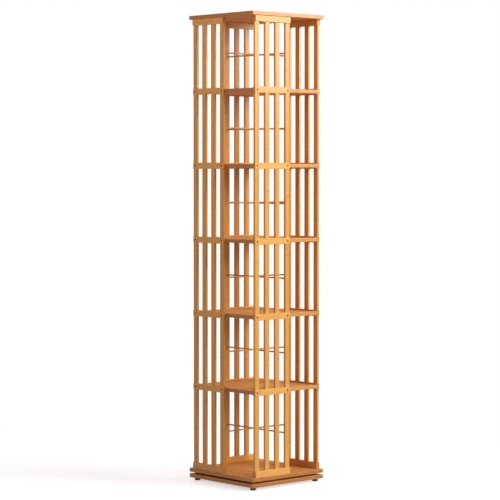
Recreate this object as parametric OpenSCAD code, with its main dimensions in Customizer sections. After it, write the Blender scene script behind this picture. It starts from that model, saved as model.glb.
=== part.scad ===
// Rotating bookshelf: a square bamboo carcass of open tiers on a ball-bearing turntable.
// Each side is closed over its left half by a slatted panel and open over its right half,
// so the four panels chase each other round the shelves like a pinwheel.
// Millimetres, +Z up, origin on the floor under the centre of the turntable.

/* [Carcass] */
// Number of tiers, counting the one on the bottom board
tiers = 6; // [3:1:6]
// Side of the square shelves
shelf_w = 350; // [310:1:420]
// Thickness of the shelves and of the three boards
board_t = 15; // [13:0.5:20]
// Clear height of every tier but the lowest
tier_clear = 285; // [240:1:340]
// Clear height of the lowest tier
low_tier_clear = 330; // [260:1:400]
// How far the boards stand out past the thick end rails
board_lip = 4; // [2:0.5:12]
// Corner radius of the boards, seen from above
board_corner_r = 6; // [3:0.5:12]
// Rounding of the long edges of the bamboo pieces
edge_r = 1.5; // [0.5:0.1:2]

/* [Slatted panels] */
// Slats side by side in one panel
slat_count = 4; // [3:1:5]
// Width of a slat
slat_w = 23; // [18:0.5:26]
// Thickness of a slat
slat_t = 10; // [9:0.5:12]
// How far a rail stands proud of the slats on each face
rail_proud = 1.5; // [0.5:0.1:3]
// How much further the top and bottom rails stand out
end_rail_proud = 3; // [0:0.5:5]
// Height of a rail
rail_h = 25; // [24:0.5:34]
// Length of the tenon on each end of a slat
tenon_len = 8; // [5:0.5:8]
// Shoulder left on each face of a slat beside its tenon
tenon_cheek = 1; // [0.5:0.1:1.5]
// Shoulder left on each edge of a slat beside its tenon
tenon_edge = 2; // [1:0.5:3]

/* [Divider rods] */
// Diameter of the rods that cross in the middle of each tier
rod_d = 6; // [5:0.5:8]
// Depth of a rod's blind hole in its slat
rod_seat = 5; // [3:0.5:6]
// Height between the axes of the two rods, which lap where they cross
rod_step = 2.4; // [0:0.1:3]

/* [Turntable] */
// Height of the gap that the bearing fills between the two lower boards
turn_gap = 8; // [7:0.5:12]
// Outer diameter of the outer ring
ring_d = 300; // [220:1:330]
// Radial width of each ring
ring_w = 13; // [12:0.5:16]
// Radial space between the two rings
ring_space = 1.6; // [1.2:0.1:2.2]
// Height between a ring and the board that it turns against
ring_lift = 0.8; // [0.5:0.1:1.5]
// Diameter of a bearing ball
ball_d = 5; // [4:0.1:5.2]
// Number of balls in the race
ball_count = 60; // [24:1:72]
// Screws that hold each ring to its board
ring_screws = 6; // [4:1:8]
// Diameter of the hole in the base through which the inner ring's screws are driven
access_d = 12; // [10:0.5:16]

/* [Feet] */
// Diameter of a foot where it meets the base
foot_d = 24; // [18:0.5:30]
// Height of a foot
foot_h = 12; // [9:0.5:20]
// Distance from the edges of the base to the centre of a foot
foot_inset = 25; // [20:1:45]
// How much a foot narrows towards the floor, on the radius
foot_taper = 0.5; // [0:0.1:2]
// Rounding of a foot's lower edge
foot_round = 2; // [0.5:0.1:3]
// Depth of the bore that hides the head of a foot's screw
foot_bore_h = 5; // [3.5:0.1:6]
// Space round that head in its bore
foot_bore_gap = 1; // [0.5:0.1:1.5]

/* [Screws] */
// Shank diameter of the wood screws
screw_d = 4; // [3:0.1:4.5]
// Diameter of the countersunk heads
head_d = 7.5; // [6.5:0.1:7.5]
// How far a head lies below the surface
head_sink = 0.5; // [0.2:0.1:1]
// Height of the flat heads of the foot screws
flat_head_h = 2.5; // [1.5:0.1:3]
// Width across the flats of the socket in a head
socket_w = 2.5; // [2:0.1:3]
// Depth of that socket
socket_depth = 1.2; // [0.8:0.1:1.3]
// Depth that the panel screws reach into a shelf
shelf_bite = 26; // [15:1:40]
// Depth that a screw reaches into a board that it ends in
board_bite = 9; // [6:0.5:11]
// Depth that the screws of the bottom board reach into a rail
rail_bite = 18; // [10:1:20]

/* [Fits] */
// Clearance round a screw or a rod in its hole
hole_clear = 0.1; // [0.05:0.01:0.2]
// Clearance between a tenon and the sides of its mortise
tenon_clear = 0.1; // [0.05:0.01:0.2]
// Space left at the end of a tenon, a rod or a screw
end_clear = 0.3; // [0.2:0.1:0.6]
// Clearance between a ball and its races
ball_clear = 0.05; // [0.02:0.01:0.08]
// Clearance on each side of the ball cage
cage_clear = 0.3; // [0.25:0.05:0.35]

/* [Hidden] */
$fn = 48;

// Sides and corners, each a quarter turn on from the one before
QUARTERS = [0 : 3];
SIDES = ["front", "right", "back", "left"];
CORNERS = ["front_left", "front_right", "back_right", "back_left"];
TIERS = [1 : tiers];
SHELVES = [1 : tiers - 1];
LEVELS = [1 : tiers + 1];
SLATS = [0 : slat_count - 1];

// Panel: the front one, whose outer face looks along -Y, turned in quarters for the others
half = shelf_w / 2;
panel_len = half + slat_w / 2;
slat_pitch = (half - slat_w / 2) / (slat_count - 1);
rail_t = slat_t + 2 * rail_proud;
end_rail_t = rail_t + end_rail_proud;
slat_y = -half - rail_t / 2;
slat_in = half + rail_proud;
tenon_w = slat_w - 2 * tenon_edge;
tenon_t = slat_t - 2 * tenon_cheek;

// Boards
board_w = shelf_w + 2 * (end_rail_t + board_lip);
base_z = foot_h;
turn_z = base_z + board_t;
bottom_z = turn_z + turn_gap;
floor_z = bottom_z + board_t;
tier_pitch = tier_clear + board_t;
roof_z = floor_z + low_tier_clear + (tiers - 1) * tier_pitch;

// Turntable
ring_h = turn_gap - ring_lift;
race_r = ring_d / 2 - ring_w - ring_space / 2;
outer_hole_r = ring_d / 2 - ring_w / 2;
inner_hole_r = outer_hole_r - ring_w - ring_space;
ball_z = turn_z + turn_gap / 2;
groove_r = ball_d / 2 + ball_clear;
ring_edge_r = ring_lift / 2;
cage_t = ring_space - 2 * cage_clear;
cage_h = turn_gap - 4 * cage_clear;
window_r = ball_d / 2 + hole_clear;
access_angle = 180 / ring_screws;

// Screws and feet
head_h = (head_d - screw_d) / 2;
bore_d = screw_d + 2 * hole_clear;
socket_d = socket_w / cos(30);
foot_bore_d = head_d + 2 * foot_bore_gap;
foot_reach = board_w / 2 - foot_inset;
shelf_screw_len = rail_t + shelf_bite;
bottom_screw_len = board_t + rail_bite;
top_screw_len = rail_h + board_bite;
ring_screw_len = ring_h + board_bite;
rod_bore_d = rod_d + 2 * hole_clear;
// How far a cut runs past the face that it opens
cut = 1;

// Underside of shelf k, counted from the lowest
function shelf_z(k) = floor_z + low_tier_clear + (k - 1) * tier_pitch;
// Underside of rail n: one on the bottom board, one at each shelf, one under the top board
function rail_z(n) =
  n == 1 ? floor_z
  : n == tiers + 1 ? roof_z - rail_h
  : shelf_z(n - 1) + (board_t - rail_h) / 2;
function rail_thickness(n) = n == 1 || n == tiers + 1 ? end_rail_t : rail_t;
// Floor, roof and middle height of tier n
function tier_floor(n) = n == 1 ? floor_z : shelf_z(n - 1) + board_t;
function tier_roof(n) = n == tiers ? roof_z : shelf_z(n);
function tier_mid(n) = (tier_floor(n) + tier_roof(n)) / 2;
// Centre of slat i along the front panel, the last one on the shelf's centre line
function slat_x(i) = -half + slat_w / 2 + i * slat_pitch;
// Middle of the gap to the right of slat i
function gap_x(i) = slat_x(i) + slat_pitch / 2;
// The slats behind which a rail is screwed to its shelf, and the gaps in which an end rail is
// screwed to its board
END_SLATS = [0, slat_count - 1];
END_GAPS = [0, slat_count - 2];

// Outlines

// Rectangle with round corners, centred
module rounded_rect(w, h, r) {
  square([w - 2 * r, h], center = true);
  square([w, h - 2 * r], center = true);
  for (x = [-1, 1], y = [-1, 1]) translate([x * (w / 2 - r), y * (h / 2 - r)]) circle(r);
}

// Strip with half-round ends, centred
module slot_outline(w, t) {
  square([w - t, t], center = true);
  for (x = [-1, 1]) translate([x * (w - t) / 2, 0]) circle(t / 2);
}

// Flat square board on z = 0 with all four sides rounded above and below
module edged_board(w, t) {
  intersection_for(turn = [0, 90])
    rotate([90, 0, turn])
      translate([0, t / 2, -w / 2])
        linear_extrude(w) rounded_rect(w, t, edge_r);
}

// Edged board whose corners are also rounded in plan
module cornered_board() {
  intersection() {
    edged_board(board_w, board_t);
    translate([0, 0, -cut])
      linear_extrude(board_t + 2 * cut) rounded_rect(board_w, board_w, board_corner_r);
  }
}

// Screws, pointing along +Z from the surface at z = 0

// Countersunk wood screw of a given length from its head to its tip
module wood_screw(length) {
  difference() {
    rotate_extrude()
      polygon([
        [0, head_sink],
        [head_d / 2, head_sink],
        [screw_d / 2, head_sink + head_h],
        [screw_d / 2, length - screw_d],
        [0, length]
      ]);
    translate([0, 0, head_sink]) socket();
  }
}

// Hole for such a screw, with its countersink
module screw_hole(length) {
  r = bore_d / 2;
  rotate_extrude()
    polygon([
      [0, -cut],
      [r + head_h, -cut],
      [r + head_h, head_sink],
      [r, head_sink + head_h],
      [r, length + end_clear],
      [0, length + end_clear]
    ]);
}

// Hexagonal socket sunk into the face of a head
module socket() {
  translate([0, 0, -cut]) cylinder(d = socket_d, h = socket_depth + cut, $fn = 6);
}

// Where the screws go

// On each side, two screws through rail n into the shelf behind it
module at_shelf_screws(n, side) {
  rotate([0, 0, 90 * side])
    for (i = END_SLATS)
      translate([slat_x(i), -half - rail_t, rail_z(n) + rail_h / 2]) rotate([-90, 0, 0]) children();
}

// On each side, two screws up through the bottom board into the lowest rail
module at_bottom_screws(side) {
  rotate([0, 0, 90 * side])
    for (i = END_GAPS) translate([gap_x(i), -half - end_rail_t / 2, bottom_z]) children();
}

// On each side, two screws up through the top rail into the top board
module at_top_screws(side) {
  rotate([0, 0, 90 * side])
    for (i = END_GAPS) translate([gap_x(i), -half - end_rail_t / 2, roof_z - rail_h]) children();
}

// Down through the outer ring into the base
module at_outer_ring_screws() {
  for (k = [0 : ring_screws - 1])
    rotate([0, 0, 2 * access_angle * k])
      translate([outer_hole_r, 0, turn_z + ring_h]) mirror([0, 0, 1]) children();
}

// Up through the inner ring into the bottom board, one of them over the access hole
module at_inner_ring_screws() {
  for (k = [0 : ring_screws - 1])
    rotate([0, 0, access_angle * (2 * k + 1)])
      translate([inner_hole_r, 0, turn_z + ring_lift]) children();
}

// Centre of foot k, counted from the front left
module at_foot(k) {
  rotate([0, 0, 90 * k]) translate([-foot_reach, -foot_reach, 0]) children();
}

// Base

module base_board() {
  color("#c98f52")
    difference() {
      translate([0, 0, base_z]) cornered_board();
      at_outer_ring_screws() screw_hole(ring_screw_len);
      for (k = QUARTERS) at_foot(k) foot_screw_hole();
      rotate([0, 0, access_angle])
        translate([inner_hole_r, 0, base_z - cut]) cylinder(d = access_d, h = board_t + 2 * cut);
    }
}

// Round rubber foot with a rounded lower edge and a bore for its screw's head
module foot(k) {
  low_r = foot_d / 2 - foot_taper;
  sole_r = low_r - foot_round;
  color("#2a2522")
    at_foot(k)
      difference() {
        rotate_extrude() {
          polygon([
            [0, 0],
            [sole_r, 0],
            [sole_r, foot_round],
            [low_r, foot_round],
            [foot_d / 2, foot_h],
            [0, foot_h]
          ]);
          translate([sole_r, foot_round])
            intersection() {
              circle(foot_round);
              translate([0, -foot_round]) square(foot_round);
            }
        }
        translate([0, 0, -cut]) cylinder(d = foot_bore_d, h = foot_bore_h + cut);
        foot_screw_hole();
      }
}

// Flat-headed screw up through a foot, its head on the floor of the foot's bore
module foot_screw() {
  head_z = foot_bore_h - flat_head_h;
  translate([0, 0, head_z])
    difference() {
      union() {
        cylinder(d = head_d, h = flat_head_h);
        cylinder(d = screw_d, h = foot_h + board_bite - head_z);
      }
      socket();
    }
}

module foot_screw_hole() {
  cylinder(d = bore_d, h = foot_h + board_bite + end_clear);
}

module foot_screws() {
  color("#55565a") for (k = QUARTERS) at_foot(k) foot_screw();
}

// Turntable: two flat rings one inside the other, with the balls running between their edges

// Round groove that both rings carry for the balls
module race() {
  translate([0, 0, ball_z]) rotate_extrude($fn = 180) translate([race_r, 0]) circle(groove_r);
}

module ring_blank(outer_r, z) {
  translate([0, 0, z])
    rotate_extrude($fn = 180)
      translate([outer_r - ring_w / 2, ring_h / 2]) rounded_rect(ring_w, ring_h, ring_edge_r);
}

module outer_ring() {
  color("#b9bcc0")
    difference() {
      ring_blank(ring_d / 2, turn_z);
      race();
      at_outer_ring_screws() screw_hole(ring_screw_len);
    }
}

module inner_ring() {
  color("#b9bcc0")
    difference() {
      ring_blank(race_r - ring_space / 2, turn_z + ring_lift);
      race();
      at_inner_ring_screws() screw_hole(ring_screw_len);
    }
}

module outer_ring_screws() {
  color("#55565a") at_outer_ring_screws() wood_screw(ring_screw_len);
}

module inner_ring_screws() {
  color("#55565a") at_inner_ring_screws() wood_screw(ring_screw_len);
}

module at_balls() {
  for (k = [0 : ball_count - 1])
    rotate([0, 0, 360 * k / ball_count]) translate([race_r, 0, ball_z]) children();
}

// Thin upright band with a round window for each ball
module ball_cage() {
  color("#e8e4d8")
    difference() {
      translate([0, 0, ball_z - cage_h / 2])
        rotate_extrude($fn = 180) translate([race_r - cage_t / 2, 0]) square([cage_t, cage_h]);
      at_balls() rotate([0, 90, 0]) cylinder(r = window_r, h = ring_space, center = true);
    }
}

module balls() {
  color("#d8dadd") at_balls() sphere(d = ball_d);
}

// Boards and shelves of the carcass

module bottom_board() {
  color("#c98f52")
    difference() {
      translate([0, 0, bottom_z]) cornered_board();
      at_inner_ring_screws() screw_hole(ring_screw_len);
      for (s = QUARTERS) at_bottom_screws(s) screw_hole(bottom_screw_len);
    }
}

module shelf(k) {
  color("#dba566")
    difference() {
      translate([0, 0, shelf_z(k)]) edged_board(shelf_w, board_t);
      for (s = QUARTERS) at_shelf_screws(k + 1, s) screw_hole(shelf_screw_len);
    }
}

module top_board() {
  color("#c98f52")
    difference() {
      translate([0, 0, roof_z]) cornered_board();
      for (s = QUARTERS) at_top_screws(s) screw_hole(top_screw_len);
    }
}

// Slatted panels

// Mortises that rail n of the front panel offers to the slats above and below it
module mortises(n) {
  for (i = SLATS)
    translate([slat_x(i), slat_y, rail_z(n)]) {
      if (n <= tiers) translate([0, 0, rail_h - tenon_len]) mortise();
      if (n > 1) translate([0, 0, -cut]) mortise();
    }
}

module mortise() {
  c = 2 * tenon_clear;
  linear_extrude(tenon_len + cut) slot_outline(tenon_w + c, tenon_t + c);
}

// Rail n on one side, with its mortises and its screw holes
module rail(n, side) {
  t = rail_thickness(n);
  color("#e0a866")
    difference() {
      rotate([0, 0, 90 * side])
        difference() {
          translate([-half, -half - t / 2, rail_z(n) + rail_h / 2])
            rotate([90, 0, 90]) linear_extrude(panel_len) rounded_rect(t, rail_h, edge_r);
          mortises(n);
        }
      if (n == 1) at_bottom_screws(side) screw_hole(bottom_screw_len);
      else if (n == tiers + 1) at_top_screws(side) screw_hole(top_screw_len);
      else at_shelf_screws(n, side) screw_hole(shelf_screw_len);
    }
}

// Slat of the front panel in tier n: a round-edged strip with a round-ended tenon at each end
module slat(i, n) {
  z0 = rail_z(n) + rail_h;
  z1 = rail_z(n + 1);
  tenon = tenon_len - end_clear;
  translate([slat_x(i), slat_y, 0]) {
    translate([0, 0, z0]) linear_extrude(z1 - z0) rounded_rect(slat_w, slat_t, edge_r);
    translate([0, 0, z0 - tenon]) linear_extrude(z1 - z0 + 2 * tenon) slot_outline(tenon_w, tenon_t);
  }
}

// All the slats of one side, the ones on the centre line drilled for the divider rods
module slats(side) {
  color("#dca25e")
    difference() {
      rotate([0, 0, 90 * side]) for (n = TIERS, i = SLATS) slat(i, n);
      for (n = TIERS)
        rotate([0, 0, 90 * side])
          translate([0, -slat_in - rod_seat, rod_z(n, side)])
            rotate([-90, 0, 0]) cylinder(d = rod_bore_d, h = rod_seat + cut);
    }
}

// Divider rods: in each tier one from left to right over one from front to back

// Height of the rod that ends in a given side
function rod_z(n, side) = tier_mid(n) + (side % 2 == 1 ? 1 : -1) * rod_step / 2;

// Rod along X through the middle of tier n, as high as the holes in a given side
module rod(n, side) {
  translate([0, 0, rod_z(n, side)])
    rotate([90, 0, 90])
      cylinder(d = rod_d, h = 2 * (slat_in + rod_seat - end_clear), center = true);
}

// Block that halves a rod where the other one crosses it, above or below the tier's middle
module lap_cut(n, up) {
  translate([0, 0, tier_mid(n) + (up ? rod_bore_d : -rod_bore_d) / 2])
    cube(rod_bore_d, center = true);
}

module left_to_right_rods() {
  color("#b87a45")
    for (n = TIERS)
      difference() {
        rod(n, 1);
        lap_cut(n, false);
      }
}

module front_to_back_rods() {
  color("#b87a45")
    for (n = TIERS)
      difference() {
        rotate([0, 0, 90]) rod(n, 0);
        lap_cut(n, true);
      }
}

// Screws of the carcass

module bottom_board_screws() {
  color("#3b3531") for (s = QUARTERS) at_bottom_screws(s) wood_screw(bottom_screw_len);
}

module shelf_screws() {
  color("#3b3531")
    for (k = SHELVES, s = QUARTERS) at_shelf_screws(k + 1, s) wood_screw(shelf_screw_len);
}

module top_board_screws() {
  color("#3b3531") for (s = QUARTERS) at_top_screws(s) wood_screw(top_screw_len);
}

base_board();
for (k = QUARTERS) foot(k);
foot_screws();
outer_ring();
outer_ring_screws();
ball_cage();
balls();
inner_ring();
inner_ring_screws();
bottom_board();
for (k = SHELVES) shelf(k);
top_board();
for (s = QUARTERS, n = LEVELS)
  rail(n, s);
for (s = QUARTERS) slats(s);
left_to_right_rods();
front_to_back_rods();
bottom_board_screws();
shelf_screws();
top_board_screws();
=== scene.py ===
# Dresses the rotating bookshelf: carbonised bamboo carcass, ball-bearing turntable, rubber feet.
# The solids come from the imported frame. This file gives them their finishes, and adds the floor,
# the lights and the camera.
import math
from functools import partial

import bmesh
import bpy
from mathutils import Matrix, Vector

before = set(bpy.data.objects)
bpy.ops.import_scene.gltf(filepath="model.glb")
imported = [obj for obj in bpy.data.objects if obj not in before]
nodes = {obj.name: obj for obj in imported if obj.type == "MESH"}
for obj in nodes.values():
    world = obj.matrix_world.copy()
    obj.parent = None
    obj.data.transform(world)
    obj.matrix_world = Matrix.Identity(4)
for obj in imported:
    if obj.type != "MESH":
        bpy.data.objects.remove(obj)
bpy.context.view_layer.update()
mmPerMetre = 1000.0
print("frame loaded:", len(nodes), "nodes")

# Camera, at the photograph's angle
cameraView = {
    "azimuth": -41.873,  # degrees, which puts it to the left of the front side
    "distance": 7.99,  # metres from the turning axis along the view
    "height": 1.2869,  # metres from the floor to the lens
    "aside": -0.02549,  # metres to the right of the line to the axis, here a little to its left
    "tilt": -2.453,  # degrees above level, here a little downwards
    "lens": 141.3,  # mm
    "sensor": 36.0,  # mm across
}


def placeCamera(view):
    turn = math.radians(view["azimuth"])
    ahead = Vector((-math.sin(turn), math.cos(turn), 0))
    right = Vector((math.cos(turn), math.sin(turn), 0))
    data = bpy.data.cameras.new("studioCamera")
    data.sensor_width = view["sensor"]
    data.lens = view["lens"]
    camera = bpy.data.objects.new("studioCamera", data)
    bpy.context.scene.collection.objects.link(camera)
    raised = Vector((0, 0, view["height"]))
    camera.location = right * view["aside"] - ahead * view["distance"] + raised
    camera.rotation_euler = (math.radians(90 + view["tilt"]), 0, turn)  # 90 degrees is level
    bpy.context.scene.camera = camera
    print("camera placed")


placeCamera(cameraView)


def linear(hexColour):  # sRGB hex to the linear values that the shaders take, by the sRGB curve
    parts = [int(hexColour[i : i + 2], 16) / 255 for i in (1, 3, 5)]
    return [c / 12.92 if c <= 0.04045 else ((c + 0.055) / 1.055) ** 2.4 for c in parts] + [1.0]


# Adds a shader node. Each input is a value, or a socket to link from, and goes by name or place.
# A map range takes a value, the span that it comes from and the one that it goes to. A mix of
# colours takes its share at 0 and the colours at 6 and 7, and gives the result at 2.
def addNode(tree, kind, inputs=(), **settings):
    node = tree.nodes.new("ShaderNode" + kind)
    for name, value in settings.items():
        setattr(node, name, value)
    for slot, value in inputs.items() if isinstance(inputs, dict) else enumerate(inputs):
        if isinstance(value, bpy.types.NodeSocket):
            tree.links.new(value, node.inputs[slot])
        else:
            node.inputs[slot].default_value = value
    return node.outputs


def newFinish(name, shaderValues):
    finish = bpy.data.materials.new(name)
    finish.use_nodes = True
    tree = finish.node_tree
    tree.nodes.clear()
    shader = addNode(tree, "BsdfPrincipled", shaderValues)["BSDF"].node
    addNode(tree, "OutputMaterial", {"Surface": shader.outputs["BSDF"]})
    return finish, tree, shader


def dress(names, finish):
    for name in names:
        nodes[name].material_slots[0].material = finish
    print(finish.name, "on", len(names), "nodes")


# Carbonised bamboo, flat-pressed in plies of strips, planed and lacquered satin.
# The eye sees honey-brown strips of slightly different tone, each crossed now and then by a
# darker knuckle, with long fine fibres, thin glue lines, and stippled end grain.
bamboo = {
    "shader": {"IOR": 1.5, "Specular IOR Level": 0.36},
    "roughness": (0.24, 0.38),  # lacquer on the pale fibres, and on the dark ones
    "levelRoughness": 0.4,  # added on level faces: the tops are rubbed matt, the undersides bare
    # Sizes in mm
    "stripWidth": 20.0,
    "knuckleGap": 290.0,  # from one knuckle of the cane to the next
    "hair": 0.05,  # that a ply starts outside the face of its piece
    "pieceShift": (900.0, 60.0, 0.0),  # the most that strips begin elsewhere in another piece
    "stripShift": 400.0,  # the most that fibres begin elsewhere in another strip
    # Lines, in mm from their middle: each is full up to the first and gone from the second
    "glueLine": (0.14, 0.35),  # twice the real width, so that it shows
    "knuckleLine": (0.36, 1.2),  # 1.5 times the real width, likewise
    "knuckleHalo": (1.2, 8.4),
    # Patterns, in repeats per mm along the grain, across it and through the plies
    "fibre": (1 / 70, 1 / 1.1, 1 / 1.1),  # bundles, twice as wide as the real 0.5 mm, to show
    "streak": (1 / 260, 1 / 7, 1 / 7),  # the slow change of tone in a strip
    "pore": (1 / 50, 1 / 1.3, 1 / 1.3),  # the dots of the end grain, 1.3 mm apart
    "fibreNoise": {"Scale": 1.0, "Detail": 3.0, "Roughness": 0.6},
    "streakNoise": {"Scale": 1.0, "Detail": 2.0},
    "stagger": 0.41,  # of a strip's width, from one ply to the next
    "knuckleBow": 0.02,  # of the gap between knuckles, by which the streaks bend one
    # Spans of a pattern, over which its effect goes from one end to the other
    "fibreSpan": (0.52, 0.72),
    "lacquerSpan": (0.3, 0.75),
    "poreSpan": (0.15, 0.45),
    "toneSpan": (0.5, 2.3),
    # Spans of how squarely a face looks along an axis, in which it comes to count as one of these
    "alongGlue": (0.7, 0.9),
    "endGrain": (0.75, 0.95),
    "levelFace": (0.7, 0.95),
    # Shares of the piece and of the streaks in the tone, beside the strip's own share of 1
    "pieceShare": 0.6,
    "streakShare": 1.2,
    # How far each covers the tone
    "fibreCover": 0.55,
    "haloCover": 0.16,
    "knuckleCover": 0.45,
    "glueCover": 0.6,
    "poreCover": (0.9, 0.4),  # in a dot, and between the dots
    # Relief of the lacquer
    "dip": 0.8,  # of glue lines and knuckles, against the fibres' 1
    "bump": {"Strength": 0.35, "Distance": 0.25 / mmPerMetre},  # a quarter of a millimetre
}


# The axes are letters: along the fibres, across them, and through the plies, which are stacked
# from plyStart. Cells part the pieces that share a finish, so that each has its own tone.
def bambooFinish(name, axes, piece, cells):
    grain, across, through = axes
    finish, tree, shader = newFinish(name, bamboo["shader"])
    add = partial(addNode, tree)
    place = add("TexCoord")
    mm = add("VectorMath", {0: place["Object"], "Scale": mmPerMetre}, operation="SCALE")[0]
    at = add("SeparateXYZ", [mm])
    facing = add("VectorMath", [place["Normal"]], operation="ABSOLUTE")[0]
    faces = add("SeparateXYZ", [facing])

    # One number for each separate piece
    raised = add("Math", (at["Z"], cells["lowest"]), operation="MAXIMUM")[0]
    whole = add("CombineXYZ", (at["X"], at["Y"], raised))[0]
    shifted = add("VectorMath", (whole, cells["start"]), operation="SUBTRACT")[0]
    counted = add("VectorMath", (shifted, cells["size"]), operation="DIVIDE")[0]
    cell = add("VectorMath", [counted], operation="FLOOR")[0]
    chance = add("TexWhiteNoise", {"Vector": cell}, noise_dimensions="3D")

    # Strips and plies, begun at another point in each piece
    depth = add("Math", [at[through]], operation="ABSOLUTE")[0]
    sunk = add("Math", (depth, piece["plyStart"] - bamboo["hair"]), operation="SUBTRACT")[0]
    laid = add("CombineXYZ", (at[grain], at[across], sunk))[0]
    begun = add("VectorMath", (chance["Color"], bamboo["pieceShift"]), operation="MULTIPLY")[0]
    strips = add("VectorMath", (laid, begun), operation="ADD")[0]
    unit = (bamboo["knuckleGap"], bamboo["stripWidth"], piece["ply"])
    count = add("VectorMath", (strips, unit), operation="DIVIDE")[0]
    step = add("SeparateXYZ", [count])
    layer = add("Math", [step["Z"]], operation="FLOOR")[0]
    row = add("Math", (layer, bamboo["stagger"], step["Y"]), operation="MULTIPLY_ADD")[0]
    strip = add("Math", [row], operation="FLOOR")[0]
    own = add("CombineXYZ", (chance["Value"], strip, layer))[0]
    luck = add("TexWhiteNoise", {"Vector": own}, noise_dimensions="3D")
    draw = add("SeparateColor", [luck["Color"]])

    # Glue lines, which a face that lies in one doesn't show. A ping-pong over half a repeat
    # gives the distance to the nearest line.
    lines = []
    for position, width, axis in (
        (row, bamboo["stripWidth"], across),
        (step["Z"], piece["ply"], through),
    ):
        side = add("Math", (position, 0.5), operation="PINGPONG")[0]
        away = add("Math", (side, width), operation="MULTIPLY")[0]
        line = add("MapRange", (away, *bamboo["glueLine"], 1.0, 0.0))[0]
        crossed = add("MapRange", (faces[axis], *bamboo["alongGlue"], 1.0, 0.0))[0]
        lines.append(add("Math", (line, crossed), operation="MULTIPLY")[0])
    glue = add("Math", lines, operation="MAXIMUM")[0]

    # Fibres and slow streaks, broken from strip to strip
    spread = {0: luck["Color"], "Scale": bamboo["stripShift"]}
    apart = add("VectorMath", spread, operation="SCALE")[0]
    broken = add("VectorMath", (strips, apart), operation="ADD")[0]
    drawn = add("VectorMath", (broken, bamboo["fibre"]), operation="MULTIPLY")[0]
    fibres = add("TexNoise", {"Vector": drawn, **bamboo["fibreNoise"]})[0]
    slow = add("VectorMath", (broken, bamboo["streak"]), operation="MULTIPLY")[0]
    streaks = add("TexNoise", {"Vector": slow, **bamboo["streakNoise"]})[0]

    # Knuckles, a little bowed by the streaks
    bowed = add("Math", (streaks, bamboo["knuckleBow"], step["X"]), operation="MULTIPLY_ADD")[0]
    phase = add("Math", (bowed, draw[0]), operation="ADD")[0]
    near = add("Math", (phase, 0.5), operation="PINGPONG")[0]
    off = add("Math", (near, bamboo["knuckleGap"]), operation="MULTIPLY")[0]
    knuckle = add("MapRange", (off, *bamboo["knuckleLine"], bamboo["knuckleCover"], 0.0))[0]
    halo = add("MapRange", (off, *bamboo["knuckleHalo"], bamboo["haloCover"], 0.0))[0]

    # End grain: a dark dot for each bundle
    dots = add("VectorMath", (broken, bamboo["pore"]), operation="MULTIPLY")[0]
    pores = add("TexVoronoi", {"Vector": dots, "Scale": 1.0})["Distance"]
    pored = add("MapRange", (pores, *bamboo["poreSpan"], *bamboo["poreCover"]))[0]
    cut = add("MapRange", (faces[grain], *bamboo["endGrain"], 0.0, 1.0))[0]
    ends = add("Math", (pored, cut), operation="MULTIPLY")[0]

    # Colour: the tone of the piece and of the strip, then what lies over it
    tones = {part: linear(hexColour) for part, hexColour in piece["tones"].items()}
    weighed = (chance["Value"], bamboo["pieceShare"], draw[1])
    tone = add("Math", weighed, operation="MULTIPLY_ADD")[0]
    tone = add("Math", (streaks, bamboo["streakShare"], tone), operation="MULTIPLY_ADD")[0]
    share = add("MapRange", (tone, *bamboo["toneSpan"], 0.0, 1.0))[0]
    mixed = {0: share, 6: tones["pale"], 7: tones["deep"]}
    colour = add("Mix", mixed, data_type="RGBA")[2]
    thread = add("MapRange", (fibres, *bamboo["fibreSpan"], 0.0, bamboo["fibreCover"]))[0]
    seam = add("Math", (glue, bamboo["glueCover"]), operation="MULTIPLY")[0]
    for cover, over in (
        (thread, "fibre"),
        (halo, "fibre"),
        (knuckle, "knuckle"),
        (seam, "knuckle"),
        (ends, "end"),
    ):
        mixed = {0: cover, 6: colour, 7: tones[over]}
        colour = add("Mix", mixed, data_type="RGBA")[2]
    tree.links.new(colour, shader.inputs["Base Color"])

    # Satin lacquer, which dips a little at the glue lines and knuckles
    satin = add("MapRange", (fibres, *bamboo["lacquerSpan"], *bamboo["roughness"]))[0]
    level = add("MapRange", (faces["Z"], *bamboo["levelFace"], 0.0, 1.0))[0]
    rough = add("Math", (level, bamboo["levelRoughness"], satin), operation="MULTIPLY_ADD")[0]
    tree.links.new(rough, shader.inputs["Roughness"])
    dips = add("Math", (glue, knuckle), operation="MAXIMUM")[0]
    relief = add("Math", (dips, -bamboo["dip"], fibres), operation="MULTIPLY_ADD")[0]
    bump = add("Bump", {**bamboo["bump"], "Height": relief})[0]
    tree.links.new(bump, shader.inputs["Normal"])
    return finish


# Places in mm, from which the cells are worked out
reach = 500.0  # from the turning axis, past every piece
tier = 300.0  # from one shelf to the next
tierStart = -50.0  # a tier below a height that no shelf, rail or rod crosses
railMiddle = 87.5  # a tier below the middle of the second rail, on which slats meet
slatPitch = 54.5  # from one slat to the next, one of which stands in line with the axis
tierCells = {
    "start": (-reach, -reach, tierStart),
    "size": (2 * reach, 2 * reach, tier),
    "lowest": 0.0,  # what lies lower counts as this high
}

# Boards: three 5 mm plies. Fibres run from front to back in the two boards of the turntable,
# whose front edges show end grain, and from left to right in the top board.
boards = {
    "tones": {
        "pale": "#dc9747",
        "deep": "#c67e32",
        "fibre": "#aa6421",
        "knuckle": "#763e13",
        "end": "#874918",
    },
    "ply": 5.0,
    "plyStart": 0.0,
}
baseBoard = {**boards, "plyStart": 2.0}  # it begins 2 mm off a whole number of plies
cells = {
    "start": (-reach, -reach, 31.0),  # between the two boards of the turntable
    "size": (2 * reach, 2 * reach, 400.0),  # so that no border crosses the top board
    "lowest": 0.0,
}
dress(["base_board"], bambooFinish("pressedBambooBase", "YXZ", baseBoard, cells))
dress(["bottom_board"], bambooFinish("pressedBambooBottom", "YXZ", boards, cells))
dress(["top_board"], bambooFinish("pressedBambooTop", "XYZ", boards, cells))

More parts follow.
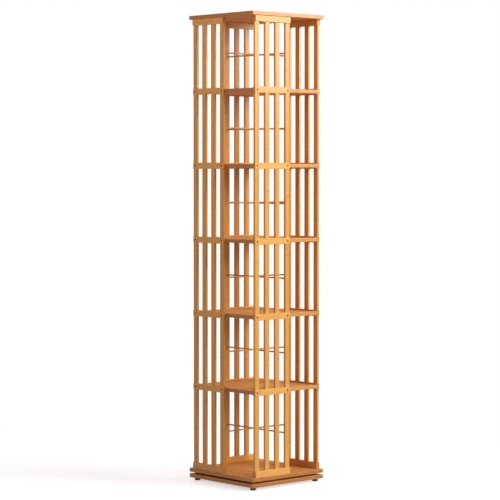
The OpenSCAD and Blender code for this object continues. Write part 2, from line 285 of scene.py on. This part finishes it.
# Shelves: the same plies, a little paler, with fibres from left to right
shelves = {
    "tones": {
        "pale": "#e1a153",
        "deep": "#cb863b",
        "fibre": "#af6b29",
        "knuckle": "#774015",
        "end": "#894b1b",
    },
    "ply": 5.0,
    "plyStart": 0.0,
}
shelfNodes = [name for name in nodes if name[:6] == "shelf_" and name[6:].isdigit()]
dress(shelfNodes, bambooFinish("pressedBambooShelf", "XYZ", shelves, tierCells))

# Rails: fibres along the rail, 6.5 mm plies from its inner face. Front and back rails share one
# finish, and left and right ones another, so their cells are halved.
rails = {
    "tones": {
        "pale": "#efb15a",
        "deep": "#e09d46",
        "fibre": "#c78331",
        "knuckle": "#884c1a",
        "end": "#94521c",
    },
    "ply": 6.5,
    "plyStart": 175.0,
}
for name, axes, sides, size in (
    ("pressedBambooRailX", "XZY", ("front_rail_", "back_rail_"), (2 * reach, reach, tier)),
    ("pressedBambooRailY", "YZX", ("left_rail_", "right_rail_"), (reach, 2 * reach, tier)),
):
    cells = {**tierCells, "size": size}
    dress([n for n in nodes if n.startswith(sides)], bambooFinish(name, axes, rails, cells))

# Slats: upright fibres, two 5 mm plies from the inner face
slats = {
    "tones": {
        "pale": "#e4a754",
        "deep": "#d4943f",
        "fibre": "#bc792d",
        "knuckle": "#814718",
        "end": "#91521c",
    },
    "ply": 5.0,
    "plyStart": 176.5,
    "reach": 400.0,  # from the turning axis, past every slat
    "lowest": 100.0,  # the tenons of the lowest slats count as this high, in the first tier
}
far = slats["reach"]
cells = {
    "start": (-slatPitch / 2, -far, railMiddle),
    "size": (slatPitch, far, tier),
    "lowest": slats["lowest"],
}
dress(["front_slats", "back_slats"], bambooFinish("pressedBambooSlatX", "ZXY", slats, cells))
cells = {
    "start": (-far, -slatPitch / 2, railMiddle),
    "size": (far, slatPitch, tier),
    "lowest": slats["lowest"],
}
dress(["left_slats", "right_slats"], bambooFinish("pressedBambooSlatY", "ZYX", slats, cells))

# Divider rods: turned from one strip each, and a little duller than the slats
rods = {
    "tones": {
        "pale": "#dba85d",
        "deep": "#bf8743",
        "fibre": "#9d652e",
        "knuckle": "#7a471b",
        "end": "#8a5226",
    },
    "ply": tier,  # so that a rod lies in one ply
    "plyStart": tierStart,
}
dress(["left_to_right_rods"], bambooFinish("turnedBambooRodX", "XYZ", rods, tierCells))
dress(["front_to_back_rods"], bambooFinish("turnedBambooRodY", "YXZ", rods, tierCells))

# Hardware: bare metals and mouldings of the turntable, screws and feet. Grit is the size in mm
# of the fine unevenness that varies tone, roughness and bump, and relief its height in mm.
# Spread is how far the roughness strays.
hardware = {
    # Aluminium, turned and left bare: soft grey with fine rings round the axis
    "turnedAluminium": {
        "nodes": ["outer_ring", "inner_ring"],
        "colour": "#c4c6c8", "low": "#adb0b3", "metallic": 1.0,
        "roughness": 0.34, "spread": 0.08, "grit": 0.8, "relief": 0.05, "turned": True,
    },
    # Bearing steel, lapped: bright and hard
    "lappedBearingSteel": {
        "nodes": ["balls"],
        "colour": "#d9dbde", "low": "#cfd2d6", "metallic": 1.0,
        "roughness": 0.12, "spread": 0.03, "grit": 1.5, "relief": 0.002,
    },
    # Nylon, moulded: milky and half matt
    "mouldedNylon": {
        "nodes": ["ball_cage"],
        "colour": "#e8e2d0", "low": "#ded7c2", "metallic": 0.0,
        "roughness": 0.45, "spread": 0.08, "grit": 2.0, "relief": 0.02, "shader": {"IOR": 1.53},
    },
    # Steel, zinc plated: grey with a dull bloom
    "zincPlatedSteel": {
        "nodes": ["foot_screws", "outer_ring_screws", "inner_ring_screws"],
        "colour": "#b4b6b8", "low": "#8e9194", "metallic": 1.0,
        "roughness": 0.38, "spread": 0.1, "grit": 1.2, "relief": 0.02,
    },
    # Steel, black oxide: brown-black, with an oily half shine
    "blackOxideSteel": {
        "nodes": ["bottom_board_screws", "shelf_screws", "top_board_screws"],
        "colour": "#4b2b13", "low": "#2f1b0c", "metallic": 1.0,
        "roughness": 0.5, "spread": 0.1, "grit": 1.0, "relief": 0.02,
    },
    # Rubber, moulded: brown-black and matt, with a fine stipple
    "mouldedRubber": {
        "nodes": ["foot_front_left", "foot_front_right", "foot_back_right", "foot_back_left"],
        "colour": "#2b2320", "low": "#1d1816", "metallic": 0.0,
        "roughness": 0.72, "spread": 0.1, "grit": 0.7, "relief": 0.08, "shader": {"IOR": 1.52},
    },
}
gritNoise = {
    "detail": 2.0,
    "span": (0.3, 0.7),  # in which nearly all of the noise lies
    "bumpStrength": 0.3,
}


def hardwareFinish(name, look):
    values = {"Metallic": look["metallic"], "Base Color": linear(look["colour"])}
    finish, tree, shader = newFinish(name, {**values, **look.get("shader", {})})
    add = partial(addNode, tree)
    place = add("TexCoord")["Object"]
    if look.get("turned"):  # rings round the axis: the pattern follows the distance from it
        flat = add("VectorMath", (place, (1, 1, 0)), operation="MULTIPLY")[0]
        radius = add("VectorMath", [flat], operation="LENGTH")["Value"]
        place = add("CombineXYZ", [radius])[0]
    perMetre = mmPerMetre / look["grit"]
    pattern = {"Vector": place, "Scale": perMetre, "Detail": gritNoise["detail"]}
    grain = add("TexNoise", pattern)[0]
    tint = add("MapRange", (grain, *gritNoise["span"], 0.0, 1.0))[0]
    mixed = {0: tint, 6: linear(look["colour"]), 7: linear(look["low"])}
    tree.links.new(add("Mix", mixed, data_type="RGBA")[2], shader.inputs["Base Color"])
    around = (look["roughness"] - look["spread"], look["roughness"] + look["spread"])
    rough = add("MapRange", (grain, *gritNoise["span"], *around))[0]
    tree.links.new(rough, shader.inputs["Roughness"])
    height = look["relief"] / mmPerMetre
    rise = {"Strength": gritNoise["bumpStrength"], "Distance": height, "Height": grain}
    tree.links.new(add("Bump", rise)[0], shader.inputs["Normal"])
    return finish


for name, look in hardware.items():
    dress(look["nodes"], hardwareFinish(name, look))


def seenDirectly(tree):  # 1 where a surface is seen by the camera, in a mirror or through glass
    seen = addNode(tree, "LightPath")
    direct = seen["Is Camera Ray"]
    for ray in ("Is Glossy Ray", "Is Transmission Ray"):
        direct = addNode(tree, "Math", (direct, seen[ray]), operation="MAXIMUM")[0]
    return direct


# Floor: matt white paper, which the camera sees fade to the white background away from the object
floor = {
    "radius": 30.0,  # metres
    "corners": 96,  # of the round sheet
    "colour": "#cccccc",
    "roughness": 0.9,
    "lift": 0.62,  # that the eye sees added to the lit paper, so that only the shadow isn't white
    "fadeFrom": 0.6,  # metres from the turning axis
    "fadeTo": 2.0,
}


def layFloor(look):
    mesh = bpy.data.meshes.new("studioFloor")
    shape = bmesh.new()
    size = {"segments": look["corners"], "radius": look["radius"]}
    bmesh.ops.create_circle(shape, cap_ends=True, **size)
    shape.to_mesh(mesh)
    shape.free()
    paper = bpy.data.objects.new("studioFloor", mesh)
    bpy.context.scene.collection.objects.link(paper)
    values = {"Base Color": linear(look["colour"]), "Roughness": look["roughness"]}
    finish, tree, shader = newFinish("mattWhitePaper", values)
    add = partial(addNode, tree)
    direct = seenDirectly(tree)
    place = add("TexCoord")["Object"]
    far = add("VectorMath", [place], operation="LENGTH")["Value"]
    fade = (far, look["fadeFrom"], look["fadeTo"], 0.0, 1.0)
    away = add("MapRange", fade, interpolation_type="SMOOTHSTEP")[0]
    white = add("Emission", {"Strength": 1.0})[0]
    lift = add("Emission", {"Strength": look["lift"]})[0]
    near = add("AddShader", (shader.outputs["BSDF"], lift))[0]
    shown = add("MixShader", (away, near, white))[0]
    both = add("MixShader", (direct, shader.outputs["BSDF"], shown))[0]
    output = next(node for node in tree.nodes if node.type == "OUTPUT_MATERIAL")
    tree.links.new(both, output.inputs["Surface"])
    mesh.materials.append(finish)
    print("floor laid")


layFloor(floor)

# Lights: a soft box near the top at the front right, so that the front pales towards the top, a
# broad lamp behind it, a fill for the left, one for the back, and a weak even surround
studio = {
    "surround": 0.1,  # the strength of its light, where the camera sees plain white
    "surroundColour": "#ffffff",
    "keyFrom": (0.43, -0.84, 0.34),
    "keyStrength": 1.58,
    "keyWidth": 24.0,  # degrees that the lamp spans, seen from the object
    "aim": (0.0, 0.0, 1.5),  # metres, where the other lamps point
    "lamps": {  # places and sides in metres, powers in watts
        "boxLamp": {"at": (1.5, -1.8, 2.4), "side": 1.6, "power": 60.0, "colour": "#f6faff"},
        "fillLamp": {"at": (-2.1, -0.7, 2.4), "side": 1.4, "power": 22.5, "colour": "#ffe8ec"},
        "backLamp": {"at": (1.1, 2.2, 2.3), "side": 1.2, "power": 30.0, "colour": "#ffe8ec"},
    },
    "unmirrored": ("backLamp",),  # it leaves no sheen, which would whiten the shelf tops
}


def hangLamp(name, kind, fromPoint, toPoint, **settings):
    data = bpy.data.lights.new(name, kind)
    for setting, value in settings.items():
        setattr(data, setting, value)
    lamp = bpy.data.objects.new(name, data)
    bpy.context.scene.collection.objects.link(lamp)
    lamp.location = fromPoint
    beam = Vector(fromPoint) - Vector(toPoint)
    lamp.rotation_euler = beam.to_track_quat("Z", "Y").to_euler()
    return lamp


def lightStudio(look):
    key = {"energy": look["keyStrength"], "angle": math.radians(look["keyWidth"])}
    hangLamp("keyLamp", "SUN", look["keyFrom"], (0, 0, 0), **key)
    for name, kind in look["lamps"].items():
        colour = linear(kind["colour"])[:3]
        soft = {"energy": kind["power"], "size": kind["side"], "color": colour}
        lamp = hangLamp(name, "AREA", kind["at"], look["aim"], **soft)
        lamp.visible_glossy = name not in look["unmirrored"]
    world = bpy.data.worlds.new("studioSurround")
    world.use_nodes = True
    tree = world.node_tree
    tree.nodes.clear()
    direct = seenDirectly(tree)
    colour = linear(look["surroundColour"])
    white = addNode(tree, "Background", {"Color": colour, "Strength": 1.0})[0]
    even = addNode(tree, "Background", {"Color": colour, "Strength": look["surround"]})[0]
    both = addNode(tree, "MixShader", (direct, even, white))[0]
    addNode(tree, "OutputWorld", {"Surface": both})
    bpy.context.scene.world = world
    print("lamps hung and surround set")


lightStudio(studio)
bpy.context.scene.view_settings.view_transform = "Standard"
